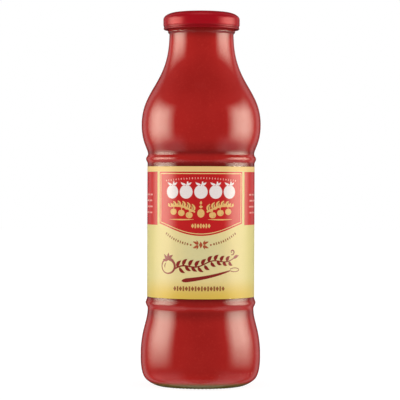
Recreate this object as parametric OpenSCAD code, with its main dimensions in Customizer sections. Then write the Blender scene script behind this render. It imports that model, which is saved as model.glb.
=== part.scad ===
// Tall glass bottle of passata, closed by a twist-off tin lid and wrapped in a paper label.
// Every outline is turned about the Z axis. The bottle stands on Z = 0, and its front faces -Y.

/* [Foot] */
// Outer diameter of the flat ring that the bottle stands on
foot_d = 57; // [48:0.5:62]
// Width of that flat ring
foot_w = 5; // [3:0.5:7]
// How high the hollow under the bottle arches
punt_h = 5; // [2:0.5:9]
// Thickness of the glass in the middle of the bottom
floor_t = 4; // [3:0.5:6]
// Thickness of the glass over the standing ring
foot_t = 3.6; // [2.6:0.1:5]
// Number of small grip bars around the standing ring
knurl_n = 72; // [36:4:90]
// Height of each grip bar
knurl_h = 0.4; // [0.2:0.05:0.6]

/* [Belly] */
// Widest diameter of the belly
belly_d = 78.8; // [65:0.1:96]
// Height of the belly's widest point
belly_h = 19.7; // [16:0.1:26]
// How far the heel's turning point lies inside the belly
heel_in = 3.9; // [3:0.1:5]
// Height of the heel's turning point
heel_h = 3.7; // [3:0.1:5]
// Rise from the belly's widest point to the lower groove
belly_rise = 30.9; // [24:0.1:40]
// How far the lower groove lies inside the panel's face
groove_in = 0.35; // [0:0.05:1]

/* [Label panel] */
// Diameter of the straight panel that carries the label
panel_d = 70.4; // [58:0.1:84]
// Height of the straight panel between the two ribs
panel_h = 87.9; // [60:0.1:120]
// Height of the rib below the panel
lower_rib_w = 7.4; // [5:0.1:9]
// Height of the rib above the panel
upper_rib_w = 6.4; // [5:0.1:9]
// How far both ribs stand out
rib_out = 1.15; // [0.5:0.05:1.6]

/* [Shoulder and neck] */
// How far the waist above the upper rib lies inside the panel's face
waist_in = 0.25; // [0:0.05:1]
// Widest diameter of the shoulder
shoulder_d = 78.4; // [65:0.1:96]
// Rise from the waist to the shoulder's widest point
shoulder_rise = 19.2; // [15:0.1:26]
// Diameter of the neck below the lid
neck_d = 42.2; // [35:0.1:51]
// Rise from the shoulder's widest point to the top of the neck
neck_rise = 59.5; // [48:0.1:76]
// Height of the bead below the lid
bead_w = 2.6; // [2:0.1:3.2]
// How far the bead stands out
bead_out = 0.6; // [0.3:0.05:0.9]
// How far the mouth stands out from the neck
mouth_out = 0.8; // [0.4:0.05:1.2]
// Height of the mouth above the bead
mouth_h = 11.5; // [10:0.1:15]

/* [Wall and filling] */
// Thickness of the glass wall
wall = 3; // [2:0.1:3.6]
// Empty height between the passata and the top of the mouth
headspace = 6; // [2:0.5:9]

/* [Label] */
// Bare glass between the lower rib and the label
label_low_gap = 0.6; // [0:0.1:6]
// Bare glass between the label and the upper rib
label_top_gap = 1.9; // [0:0.1:6]
// Thickness of the paper
paper_t = 0.12; // [0.08:0.01:0.2]
// Width of the paper's overlap at the back
overlap_w = 8; // [4:0.5:14]

/* [Lid] */
// Thickness of the coated tin with its seal
tin_t = 0.35; // [0.25:0.05:0.5]
// Clear space between the mouth and the lid's rolled edge
lid_gap = 0.95; // [0.3:0.05:1.5]
// Clear height between the bead and the lid's rolled edge
skirt_gap = 0.45; // [0.2:0.05:1]
// Radius of the lid's upper edge
lid_edge_r = 4.4; // [1.5:0.1:4.4]
// Outer radius of the rolled lower edge
curl_r = 1.15; // [0.9:0.05:1.4]
// Clear space between the lid's middle panel and the bore of the mouth
panel_gap = 0.3; // [0.2:0.05:1]
// How far the middle panel lies below the lid's rim
panel_drop = 0.9; // [0.3:0.1:1.5]
// Diameter of the safety button
button_d = 19; // [12:0.5:22]
// How far the middle of the button is drawn down
button_dip = 0.35; // [0:0.05:0.6]

/* [Mould marks] */
// Number of raised pips above the heel
pip_n = 8; // [1:1:16]
// Angle between neighbouring pips
pip_step = 6; // [3:0.5:8]
// Height of the row of pips
pip_z = 10.5; // [7:0.1:14]
// Radius of each round pip
pip_r = 0.7; // [0.4:0.05:1]
// How far each pip stands out
pip_out = 0.3; // [0.1:0.05:0.35]

/* [Hidden] */

$fn = 96;
CURVE_STEPS = 14;
NECK_STEPS = 24;
RIB_STEPS = 12;
PUNT_STEPS = 10;
EDGE_STEPS = 6;
CURL_STEPS = 16;

OUTWARD = 0;
UPWARD = 90;
HEEL_ANGLE = 41;
FOOT_ANGLE = 14;
FIRST_PIP = -72;
LIP_ROUND = 1.2;
STEP_W = 1.4;
CUT = 1;

foot_r = foot_d / 2;
ring_r = foot_r - foot_w / 2;
belly_r = belly_d / 2;
heel_r = belly_r - heel_in;
panel_r = panel_d / 2;
groove_r = panel_r - groove_in;
waist_r = panel_r - waist_in;
shoulder_r = shoulder_d / 2;
neck_r = neck_d / 2;
bore_r = neck_r - wall;
mouth_r = neck_r + mouth_out;
lid_r = mouth_r + lid_gap + 2 * curl_r;

// Heights of the outline's landmarks, stacked from the table up
groove_z = belly_h + belly_rise;
panel_z = groove_z + lower_rib_w;
panel_top = panel_z + panel_h;
waist_z = panel_top + upper_rib_w;
shoulder_z = waist_z + shoulder_rise;
neck_z = shoulder_z + neck_rise;
bead_z = neck_z + bead_w;
mouth_z = bead_z + mouth_h;
fill_z = mouth_z - headspace;
lid_z = mouth_z + tin_t;
curl_z = bead_z + skirt_gap;
label_z = panel_z + label_low_gap;
label_h = panel_h - label_low_gap - label_top_gap;

// Points of a cubic curve from a to b that sets off at one angle and arrives at another.
// Each hold is how far its direction lasts, as a share of the distance from a to b.
function curve(a, start, hold_a, b, end, hold_b, steps = CURVE_STEPS) =
    let (span = norm(b - a),
         c = a + span * hold_a * [cos(start), sin(start)],
         d = b - span * hold_b * [cos(end), sin(end)])
        [for (i = [0 : steps]) let (t = i / steps, s = 1 - t)
            s * s * s * a + 3 * s * s * t * c + 3 * s * t * t * d + t * t * t * b];

// Points of a rib of height w above z: a raised cosine on a base that goes from r_low to r_high
function rib(z, w, out, r_low, r_high) = [
    for (i = [0 : RIB_STEPS]) let (t = i / RIB_STEPS)
        [r_low + (r_high - r_low) * (1 - cos(180 * t)) / 2 + out * (1 - cos(360 * t)) / 2, z + w * t]
];

// Points of an arc of radius r about c, from one angle to another
function arc(c, r, start, end, steps) = [
    for (i = [0 : steps]) let (a = start + (end - start) * i / steps) c + r * [cos(a), sin(a)]
];

function reversed(p) = [for (i = [len(p) - 1 : -1 : 0]) p[i]];

// The path p without each point that repeats the one before it
function distinct(p) = [for (i = [0 : len(p) - 1]) if (i == 0 || norm(p[i] - p[i - 1]) > 0.001) p[i]];

// The path p, which starts on the axis, moved by t towards its right-hand side
function beside(p, t) = [
    for (i = [0 : len(p) - 1])
        let (d = p[min(i + 1, len(p) - 1)] - p[max(i - 1, 0)], q = p[i] + t * [d[1], -d[0]] / norm(d))
            i == 0 ? [0, q[1]] : q
];

// Outside of the belly, from the heel up to its widest point
function heel_side() = curve([heel_r, heel_h], HEEL_ANGLE, 0.22, [belly_r, belly_h], UPWARD, 0.53);

// Outside of the glass, from the foot to the lip
function outside() = distinct(concat(
    curve([foot_r, 0], FOOT_ANGLE, 0.38, [heel_r, heel_h], HEEL_ANGLE, 0.24),
    heel_side(),
    curve([belly_r, belly_h], UPWARD, 0.55, [groove_r, groove_z], UPWARD, 0.29),
    rib(groove_z, lower_rib_w, rib_out, groove_r, panel_r),
    rib(panel_top, upper_rib_w, rib_out, panel_r, waist_r),
    curve([waist_r, waist_z], UPWARD, 0.16, [shoulder_r, shoulder_z], UPWARD, 0.59),
    curve([shoulder_r, shoulder_z], UPWARD, 0.385, [neck_r, neck_z], UPWARD, 0.52, NECK_STEPS),
    rib(neck_z, bead_w, bead_out, neck_r, mouth_r),
    arc([mouth_r - LIP_ROUND, mouth_z - LIP_ROUND], LIP_ROUND, 0, 90, EDGE_STEPS),
    arc([bore_r + LIP_ROUND, mouth_z - LIP_ROUND], LIP_ROUND, 90, 180, EDGE_STEPS)
));

// Inside of the glass, from the middle of the bottom up to where the straight bore begins
function inside() = distinct(concat(
    curve([0, punt_h + floor_t], OUTWARD, 0.43, [ring_r, foot_t], OUTWARD, 0.32, PUNT_STEPS),
    curve([ring_r, foot_t], OUTWARD, 0.31, [belly_r - wall, belly_h], UPWARD, 0.46),
    curve([belly_r - wall, belly_h], UPWARD, 0.45, [panel_r - wall, panel_z], UPWARD, 0.3),
    curve([panel_r - wall, panel_top], UPWARD, 0.4, [shoulder_r - wall, shoulder_z], UPWARD, 0.4),
    curve([shoulder_r - wall, shoulder_z], UPWARD, 0.385, [bore_r, neck_z], UPWARD, 0.52, NECK_STEPS)
));

// Hollow under the bottle, from its middle out to the standing ring's inner edge
function punt() = curve([0, punt_h], OUTWARD, 0.45, [foot_r - foot_w, 0], -75, 0.16, PUNT_STEPS);

// Gaps between the grip bars, cut into the outer part of the standing ring
module knurl_gaps() {
    gap_w = PI * foot_r / knurl_n;
    for (i = [0 : knurl_n - 1])
        rotate(i * 360 / knurl_n)
            translate([foot_r - foot_w * 0.4, -gap_w / 2, -CUT])
                cube([foot_w * 2, gap_w, CUT + knurl_h]);
}

// Row of raised pips that the mould leaves above the heel
module pips() {
    wall_at = [for (p = heel_side()) [p[1], p[0]]];
    for (i = [0 : pip_n - 1])
        rotate(FIRST_PIP + i * pip_step)
            translate([lookup(pip_z, wall_at) - pip_r + pip_out, 0, pip_z])
                sphere(pip_r);
}

module glass_bottle() {
    color([0.72, 0.82, 0.74, 0.45])
        union() {
            difference() {
                rotate_extrude()
                    polygon(concat(outside(), reversed(inside()), punt()));
                knurl_gaps();
            }
            pips();
        }
}

// Sauce up to its level in the bore, touching the glass all round
module passata() {
    color([0.64, 0.1, 0.08])
        rotate_extrude()
            polygon(concat(inside(), [[bore_r, fill_z], [0, fill_z]]));
}

// Sheet of paper once round the panel, with a second layer where it overlaps itself at the back
module label() {
    overlap_a = overlap_w / panel_r * 180 / PI;
    color([0.93, 0.86, 0.6])
        translate([0, 0, label_z])
            union() {
                difference() {
                    cylinder(h = label_h, r = panel_r + paper_t);
                    translate([0, 0, -CUT])
                        cylinder(h = label_h + 2 * CUT, r = panel_r);
                }
                rotate(90 - overlap_a / 2)
                    rotate_extrude(angle = overlap_a)
                        translate([panel_r + paper_t, 0])
                            square([paper_t, label_h]);
            }
}

// Outer face of the tin, from the middle of the top round to the end of the rolled lower edge
function lid_face() = let (
    button_r = button_d / 2,
    low_z = lid_z - panel_drop,
    rim_in = bore_r - panel_gap
) distinct(concat(
    curve([0, low_z - button_dip], OUTWARD, 0.4, [button_r, low_z], OUTWARD, 0.1, PUNT_STEPS),
    curve([rim_in - STEP_W, low_z], OUTWARD, 0.4, [rim_in, lid_z], OUTWARD, 0.4, EDGE_STEPS),
    arc([lid_r - lid_edge_r, lid_z - lid_edge_r], lid_edge_r, 90, 0, PUNT_STEPS),
    arc([lid_r - curl_r, curl_z + curl_r], curl_r, 0, -240, CURL_STEPS)
));

module lid() {
    face = lid_face();
    color([0.66, 0.04, 0.1])
        rotate_extrude()
            polygon(concat(face, reversed(beside(face, tin_t))));
}

glass_bottle();
lid();
label();
passata();
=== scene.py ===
"""A bottle of passata: clear glass, the sieved tomato in it, a lacquered twist-off lid and a printed label.

Sizes are in millimetres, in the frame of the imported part: +Z is up, the bottle stands on z = 0 around the
Z axis, and the front of its label faces -Y. Meshes are written in metres.
"""

import logging
import math
from collections.abc import Callable
from dataclasses import dataclass, field
from enum import Enum

import bmesh
import bpy
import numpy as np
from mathutils import Euler, Matrix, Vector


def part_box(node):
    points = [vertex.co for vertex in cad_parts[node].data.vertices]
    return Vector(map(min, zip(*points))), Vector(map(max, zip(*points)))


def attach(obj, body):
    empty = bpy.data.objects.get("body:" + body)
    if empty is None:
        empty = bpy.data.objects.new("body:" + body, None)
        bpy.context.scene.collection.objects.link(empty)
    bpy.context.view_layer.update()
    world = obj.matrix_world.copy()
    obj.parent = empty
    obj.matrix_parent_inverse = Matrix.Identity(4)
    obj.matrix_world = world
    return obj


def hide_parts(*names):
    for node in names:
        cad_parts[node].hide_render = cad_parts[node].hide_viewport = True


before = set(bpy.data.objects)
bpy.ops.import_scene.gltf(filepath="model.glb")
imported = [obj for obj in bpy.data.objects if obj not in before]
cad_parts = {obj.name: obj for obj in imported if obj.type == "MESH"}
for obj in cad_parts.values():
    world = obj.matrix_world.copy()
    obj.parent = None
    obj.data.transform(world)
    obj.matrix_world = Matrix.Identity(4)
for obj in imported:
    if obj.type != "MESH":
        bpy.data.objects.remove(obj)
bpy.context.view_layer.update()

MM = 0.001
LOG = logging.getLogger("passata_bottle")

SOFT = "SMOOTHSTEP"  # how a Map Range node steps softly: 3 x^2 - 2 x^3 between its limits

Socket = bpy.types.NodeSocket
Tree = bpy.types.NodeTree
Pair = tuple[float, float]  # a point (radius, height), a place (u, v) on the label, or two limits
Edge = Callable[[np.ndarray], np.ndarray | float]
Relief = Callable[[np.ndarray, np.ndarray, np.ndarray], tuple[np.ndarray, np.ndarray]]


class Slot(Enum):
    """The record's material slots."""

    GLASS = "glass"
    LID = "lid_lacquer"
    PAPER = "label_paper"
    PASSATA = "passata"


# ---------------------------------------------------------------- outlines and surfaces


def heading(deg: float) -> np.ndarray:
    """Returns the unit direction (cos a, sin a): 0 is outward and 90 is up."""
    return np.array([math.cos(math.radians(deg)), math.sin(math.radians(deg))])


def cubic(
    start: Pair, leaves_deg: float, leaves_hold: float,
    end: Pair, arrives_deg: float, arrives_hold: float, steps: int,
) -> np.ndarray:
    """A smooth stretch of an outline, as one cubic Bezier curve.

    B(t) = (1-t)^3 a + 3 (1-t)^2 t c + 3 (1-t) t^2 d + t^3 b, with the handles c and d laid off from a and b
    along the two given directions, each as a share of the distance from a to b.

    Args:
        start: first point, (radius, height).
        leaves_deg: direction in which it leaves, 0 is outward and 90 is up.
        leaves_hold: length of the first handle as a share of the span.
        end: last point, (radius, height).
        arrives_deg: direction in which it arrives.
        arrives_hold: length of the second handle as a share of the span.
        steps: number of stretches between points.

    Returns:
        An array of steps + 1 points, (radius, height) in each row.
    """
    a, b = np.array(start, float), np.array(end, float)
    span = np.linalg.norm(b - a)
    c = a + span * leaves_hold * heading(leaves_deg)
    d = b - span * arrives_hold * heading(arrives_deg)
    t = np.linspace(0, 1, steps + 1)[:, None]
    return (1 - t) ** 3 * a + 3 * (1 - t) ** 2 * t * c + 3 * (1 - t) * t**2 * d + t**3 * b


def rib(z: float, width: float, out: float, low_r: float, high_r: float, steps: int) -> np.ndarray:
    """A rolled rib between two radii.

    r(t) = low + (high - low) (1 - cos 180t) / 2 + out (1 - cos 360t) / 2 and z(t) = z + width t.

    Args:
        z: height of its lower edge.
        width: its height along the bottle.
        out: how far it stands out.
        low_r: radius below it.
        high_r: radius above it.
        steps: number of stretches between points.

    Returns:
        An array of steps + 1 points, (radius, height) in each row.
    """
    t = np.linspace(0, 1, steps + 1)
    r = low_r + (high_r - low_r) * (1 - np.cos(np.pi * t)) / 2 + out * (1 - np.cos(2 * np.pi * t)) / 2
    return np.stack([r, z + width * t], axis=1)


def arc(centre: Pair, radius: float, from_deg: float, to_deg: float, steps: int) -> np.ndarray:
    """A stretch of a circle: centre + radius (cos a, sin a), with a going evenly from one angle to the other.

    Args:
        centre: the circle's centre, (radius, height).
        radius: the circle's radius.
        from_deg: first angle, 0 is outward and 90 is up.
        to_deg: last angle.
        steps: number of stretches between points.

    Returns:
        An array of steps + 1 points.
    """
    a = np.radians(np.linspace(from_deg, to_deg, steps + 1))
    return np.array(centre) + radius * np.stack([np.cos(a), np.sin(a)], axis=1)


def joined(*stretches: np.ndarray) -> np.ndarray:
    """Sets stretches of an outline end to end, and drops each point that repeats the one before it.

    Args:
        stretches: arrays of points, in order.

    Returns:
        One array of points.
    """
    points = np.concatenate(stretches)
    apart = np.linalg.norm(np.diff(points, axis=0), axis=1) > 1e-4
    return points[np.concatenate([[True], apart])]


def set_off(outline: np.ndarray, distance: float) -> np.ndarray:
    """Moves an outline to its right-hand side: p + distance (tz, -tr), with (tr, tz) the unit tangent at p.

    Args:
        outline: points, (radius, height) in each row.
        distance: how far each point moves.

    Returns:
        An array of as many points, none of them across the axis.
    """
    along = np.gradient(outline, axis=0)
    along /= np.linalg.norm(along, axis=1)[:, None]
    moved = outline + distance * np.stack([along[:, 1], -along[:, 0]], axis=1)
    return np.stack([moved[:, 0].clip(0), moved[:, 1]], axis=1)


def grid_quads(rows: int, columns: int, closed: bool = False) -> np.ndarray:
    """The four-sided faces of a grid of points, facing (along a row) x (from row to row).

    Args:
        rows: number of rows of points.
        columns: number of points in a row.
        closed: whether the last column joins the first.

    Returns:
        An array with four point numbers in each row.
    """
    i = np.arange(rows - 1)[:, None] * columns
    j = np.arange(columns if closed else columns - 1)[None, :]
    k = (j + 1) % columns
    return np.stack([i + j, i + k, i + k + columns, i + j + columns], axis=-1).reshape(-1, 4)


@dataclass
class Surface:
    """Points in millimetres, the faces between them, and the map that a pattern on them may follow."""

    points: np.ndarray
    quads: np.ndarray
    triangles: np.ndarray = field(default_factory=lambda: np.zeros((0, 3), int))
    uv: np.ndarray | None = None

    def mesh(self, name: str, sharp_deg: float) -> bpy.types.Mesh:
        """Writes the surface into a smooth mesh with crisp creases, in metres.

        Args:
            name: the mesh's name.
            sharp_deg: edges that turn by more than this stay crisp.

        Returns:
            The mesh.
        """
        mesh = bpy.data.meshes.new(name)
        loops = np.concatenate([self.quads.ravel(), self.triangles.ravel()]).astype(np.int32)
        quad_starts = np.arange(len(self.quads)) * 4
        triangle_starts = len(self.quads) * 4 + np.arange(len(self.triangles)) * 3
        starts = np.concatenate([quad_starts, triangle_starts]).astype(np.int32)
        mesh.vertices.add(len(self.points))
        mesh.vertices.foreach_set("co", (self.points * MM).astype(np.float32).ravel())
        mesh.loops.add(len(loops))
        mesh.loops.foreach_set("vertex_index", loops)
        mesh.polygons.add(len(starts))
        mesh.polygons.foreach_set("loop_start", starts)
        if self.uv is not None:
            layer = mesh.uv_layers.new(name="UVMap")
            layer.data.foreach_set("uv", self.uv[loops].astype(np.float32).ravel())
        mesh.update(calc_edges=True)
        made = bmesh.new()
        made.from_mesh(mesh)
        bmesh.ops.remove_doubles(made, verts=made.verts, dist=0.0005 * MM)
        made.to_mesh(mesh)
        made.free()
        mesh.shade_smooth()
        mesh.set_sharp_from_angle(angle=math.radians(sharp_deg))
        return mesh


def even_turn(columns: int) -> np.ndarray:
    """Returns the angles of so many columns, even all round, in radians."""
    return np.radians(np.linspace(0, 360, columns, endpoint=False))


def turned(outline: np.ndarray, angles: np.ndarray, relief: Relief | None = None) -> Surface:
    """A closed turned body: (r(s) sin a, -r(s) cos a, z(s)), whose outline starts and ends on the axis.

    Args:
        outline: points (r, z) from the lower side of the body, up its outside, to its end on the axis.
        angles: the angles a of the columns, in radians from the front, growing towards +X.
        relief: changes (r, z) at each angle, as raised marks do.

    Returns:
        The surface, with one point at each pole.
    """
    ring_r, ring_z = outline[1:-1, :1], outline[1:-1, 1:]
    r, z, a = (np.array(x) for x in np.broadcast_arrays(ring_r, ring_z, angles[None, :]))
    if relief is not None:
        r, z = relief(r, z, a)
    rings = np.stack([r * np.sin(a), -r * np.cos(a), z], axis=-1).reshape(-1, 3)
    poles = np.array([[0, 0, outline[0, 1]], [0, 0, outline[-1, 1]]])
    rows, columns = r.shape
    j = np.arange(columns)
    k = (j + 1) % columns
    last = (rows - 1) * columns
    low = np.stack([np.full(columns, rows * columns), k, j], axis=1)
    high = np.stack([last + j, last + k, np.full(columns, rows * columns + 1)], axis=1)
    sides = grid_quads(rows, columns, closed=True)
    return Surface(np.concatenate([rings, poles]), sides, np.concatenate([low, high]))


def slab(outer: np.ndarray, inner: np.ndarray) -> Surface:
    """A closed sheet between two grids of points: the outer face, the inner face turned round, and the rim.

    Args:
        outer: the outer face's points, rows x columns x 3.
        inner: the inner face's points, as many.

    Returns:
        The surface.
    """
    rows, columns = outer.shape[:2]
    count = rows * columns
    face = grid_quads(rows, columns)
    number = np.arange(count).reshape(rows, columns)
    edge = np.concatenate([number[0], number[1:, -1], number[-1, -2::-1], number[-2:0:-1, 0]])
    after = np.roll(edge, -1)
    rim = np.stack([after, edge, edge + count, after + count], axis=1)
    points = np.concatenate([outer.reshape(-1, 3), inner.reshape(-1, 3)])
    return Surface(points, np.concatenate([face, face[:, ::-1] + count, rim]))


def gathered(surfaces: list[Surface]) -> Surface:
    """Returns several surfaces as one, with their points numbered on."""
    firsts = np.cumsum([0] + [len(one.points) for one in surfaces[:-1]])
    quads = [one.quads + first for one, first in zip(surfaces, firsts)]
    return Surface(np.concatenate([one.points for one in surfaces]), np.concatenate(quads))


def make_piece(
    name: str,
    surface: Surface,
    finish: "Finish",
    slot: Slot,
    replaces: tuple[str, ...] = (),
    sharp_deg: float = 30.0,
) -> bpy.types.Object:
    """Makes one piece of the bottle, dresses it and lets it ride on the body.

    Args:
        name: the piece's name.
        surface: its shape.
        finish: what it is made of.
        slot: the record's slot that its finish belongs to.
        replaces: the CAD nodes that it stands for.
        sharp_deg: edges that turn by more than this stay crisp.

    Returns:
        The piece.
    """
    mesh = surface.mesh(name, sharp_deg)
    mesh.materials.append(finish.material())
    piece = bpy.data.objects.new(name, mesh)
    bpy.context.scene.collection.objects.link(piece)
    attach(piece, "root")
    if replaces:
        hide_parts(*replaces)
    LOG.info("%s: %d faces, slot %s", name, len(mesh.polygons), slot.value)
    return piece


# ---------------------------------------------------------------- finishes


def srgb(code: str) -> tuple[float, float, float, float]:
    """Turns an sRGB hex colour to linear light: c / 12.92 below 0.04045, else ((c + 0.055) / 1.055)^2.4.

    Args:
        code: the colour as #RRGGBB.

    Returns:
        Linear red, green and blue, and an alpha of 1.
    """
    c = np.array([int(code[i : i + 2], 16) for i in (1, 3, 5)]) / 255
    linear = np.where(c <= 0.04045, c / 12.92, ((c + 0.055) / 1.055) ** 2.4)
    return (*(float(x) for x in linear), 1.0)


def add_node(
    tree: Tree, kind: str, inputs: dict | None = None, take: int | str = 0, **settings: object
) -> Socket | None:
    """Adds a shader node, with its settings and its inputs.

    Args:
        tree: the node tree.
        kind: the node's type, without the word ShaderNode.
        inputs: for each input's name or number, a value or the output that feeds it.
        take: the output that is wanted.
        settings: the node's own settings.

    Returns:
        That output, or nothing from a node that ends a tree.
    """
    node = tree.nodes.new("ShaderNode" + kind)
    for name, value in settings.items():
        setattr(node, name, value)
    for key, value in (inputs or {}).items():
        if isinstance(value, Socket):
            tree.links.new(value, node.inputs[key])
        else:
            node.inputs[key].default_value = value
    return node.outputs[take] if node.outputs else None


def band(tree: Tree, value: Socket, low: Pair, high: Pair) -> Socket:
    """A band with soft edges: a step up at its low end times a step down at its high end.

    Args:
        tree: the node tree.
        value: what the band runs along.
        low: middle and half width of its first edge.
        high: middle and half width of its last edge.

    Returns:
        1 inside the band and 0 outside it.
    """
    rise = {0: value, 1: low[0] - low[1], 2: low[0] + low[1]}
    fall = {0: value, 1: high[0] - high[1], 2: high[0] + high[1], 3: 1.0, 4: 0.0}
    up = add_node(tree, "MapRange", rise, interpolation_type=SOFT)
    down = add_node(tree, "MapRange", fall, interpolation_type=SOFT)
    return add_node(tree, "Math", {0: up, 1: down}, operation="MULTIPLY")


def turn_of(tree: Tree, x: Socket, y: Socket) -> Socket:
    """The angle between a level direction and the front, the same on both sides: atan2(|x|, -y) in degrees.

    Args:
        tree: the node tree.
        x: the direction's part to the right.
        y: its part to the back.

    Returns:
        The angle, from 0 to 180 degrees.
    """
    across = add_node(tree, "Math", {0: x}, operation="ABSOLUTE")
    ahead = add_node(tree, "Math", {0: y, 1: -1.0}, operation="MULTIPLY")
    angle = add_node(tree, "Math", {0: across, 1: ahead}, operation="ARCTAN2")
    return add_node(tree, "Math", {0: angle}, operation="DEGREES")


@dataclass(frozen=True)
class Finish:
    """What every finish shares: its name, and one material made from its own shader."""

    title: str

    def material(self) -> bpy.types.Material:
        """Returns the finish's material, made the first time it is asked for."""
        made = bpy.data.materials.get(self.title)
        if made is None:
            made = bpy.data.materials.new(self.title)
            made.use_nodes = True
            made.node_tree.nodes.clear()
            add_node(made.node_tree, "OutputMaterial", {"Surface": self.shader(made.node_tree)})
        return made

    def shader(self, tree: Tree) -> Socket:
        """Returns the shader's output; each finish has its own."""
        raise NotImplementedError


@dataclass(frozen=True)
class BlownGlass(Finish):
    """Clear soda-lime glass, pressed and blown: smooth, with slow waves, and green where it is thick."""

    title: str = "blown_soda_lime_glass"
    tint: str = "#E9F2E4"
    foot_tint: str = "#A6AA7C"  # light crosses far more glass in the thick foot, and comes out olive green
    foot_fade: Pair = (1.5, 4.6)  # heights between which the tint of the foot fades
    ior: float = 1.52
    roughness: float = 0.03
    wave_mm: float = 9.0  # spacing of the slow waves that the mould leaves
    wave_depth: float = 0.05

    def shader(self, tree: Tree) -> Socket:
        """Glass that bends light for the eye, and lets the light that falls on the contents straight through.

        Args:
            tree: the node tree.

        Returns:
            The shader's output.
        """
        place = add_node(tree, "TexCoord", take="Object")
        height = add_node(tree, "SeparateXYZ", {0: place}, 2)
        fade = {0: height, 1: self.foot_fade[0] * MM, 2: self.foot_fade[1] * MM}
        above = add_node(tree, "MapRange", fade, interpolation_type=SOFT)
        tints = {0: above, 6: srgb(self.foot_tint), 7: srgb(self.tint)}
        waves = add_node(tree, "TexNoise", {"Vector": place, "Scale": 1 / MM / self.wave_mm, "Detail": 1.0})
        inputs = {
            "Base Color": add_node(tree, "Mix", tints, 2, data_type="RGBA"),
            "Roughness": self.roughness,
            "IOR": self.ior,
            "Transmission Weight": 1.0,
            "Normal": add_node(tree, "Bump", {"Height": waves, "Strength": self.wave_depth, "Distance": MM}),
        }
        glass = add_node(tree, "BsdfPrincipled", inputs)
        clear = add_node(tree, "BsdfTransparent")
        path = add_node(tree, "LightPath").node.outputs
        in_shadow = add_node(tree, "MixShader", {0: path["Is Shadow Ray"], 1: glass, 2: clear})
        return add_node(tree, "MixShader", {0: path["Is Diffuse Ray"], 1: in_shadow, 2: clear})


@dataclass(frozen=True)
class SievedTomato(Finish):
    """Cooked, sieved tomato, wet against the glass: an even deep red, mottled by fine pulp."""

    title: str = "sieved_tomato_passata"
    pulp: str = "#C0211E"
    dark_pulp: str = "#B91D1A"
    pale_pulp: str = "#C82B24"
    grain_mm: float = 1.2  # size of the pulp's specks
    cloud_mm: float = 22.0  # size of the slow clouds where it settled
    roughness: float = 0.4
    level: float = 0.08  # glass lies on it, so hardly any light bounces off its face
    foot_tone: str = "#86783E"  # what shows of it low in the heel, through the thick green glass of the foot
    foot_fade: Pair = (4.0, 6.0)
    full_height: float = 250.0
    # Height, and the share of light that the ribs, the base and the lid let through to the passata there.
    shares: tuple[Pair, ...] = (
        (0.0, 1.0), (6.0, 1.0), (12.0, 0.8), (42.0, 0.8), (49.0, 0.56), (52.6, 0.9), (55.0, 0.66),
        (57.6, 0.48), (145.0, 0.42), (146.6, 0.55), (148.8, 0.92), (150.6, 0.76), (153.1, 0.46),
        (156.5, 0.66), (162.0, 0.86), (176.0, 0.86), (198.0, 0.76), (226.0, 0.92), (233.0, 0.7),
        (239.0, 0.64),
    )

    def pulp_colour(self, tree: Tree, place: Socket) -> Socket:
        """Three reds, mixed by slow clouds and by fine specks.

        Args:
            tree: the node tree.
            place: the point in the passata.

        Returns:
            The colour.
        """
        specks = {"Vector": place, "Scale": 1 / MM / self.grain_mm, "Detail": 3.0}
        clouds = {"Vector": place, "Scale": 1 / MM / self.cloud_mm, "Detail": 2.0}
        speck = {0: add_node(tree, "TexNoise", specks), 1: 0.5, 2: 0.8}
        cloud = {0: add_node(tree, "TexNoise", clouds), 1: 0.35, 2: 0.7}
        settled = add_node(tree, "MapRange", cloud, interpolation_type=SOFT)
        fleck = add_node(tree, "MapRange", speck, interpolation_type=SOFT)
        reds = {0: settled, 6: srgb(self.pulp), 7: srgb(self.dark_pulp)}
        base = add_node(tree, "Mix", reds, 2, data_type="RGBA")
        return add_node(tree, "Mix", {0: fleck, 6: base, 7: srgb(self.pale_pulp)}, 2, data_type="RGBA")

    def shader(self, tree: Tree) -> Socket:
        """The pulp's colour times the share of light at its height, with the foot's tone low down.

        Args:
            tree: the node tree.

        Returns:
            The shader's output.
        """
        place = add_node(tree, "TexCoord", take="Object")
        z = add_node(tree, "SeparateXYZ", {0: place}, 2)
        height = add_node(tree, "Math", {0: z, 1: 1 / MM}, operation="MULTIPLY")
        part = add_node(tree, "Math", {0: height, 1: self.full_height}, operation="DIVIDE")
        share = add_node(tree, "ValToRGB", {0: part})
        ramp = share.node.color_ramp
        ramp.interpolation = "EASE"
        for number, (level, amount) in enumerate(self.shares):
            stop = ramp.elements[number] if number < 2 else ramp.elements.new(level / self.full_height)
            stop.position, stop.color = level / self.full_height, (amount, amount, amount, 1.0)
        lit = {0: self.pulp_colour(tree, place), 1: share}
        colour = add_node(tree, "VectorMath", lit, operation="MULTIPLY")
        fade = {0: height, 1: self.foot_fade[0], 2: self.foot_fade[1]}
        above = add_node(tree, "MapRange", fade, interpolation_type=SOFT)
        colour = add_node(tree, "Mix", {0: above, 6: srgb(self.foot_tone), 7: colour}, 2, data_type="RGBA")
        inputs = {"Base Color": colour, "Roughness": self.roughness, "Specular IOR Level": self.level}
        return add_node(tree, "BsdfPrincipled", inputs)


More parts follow.
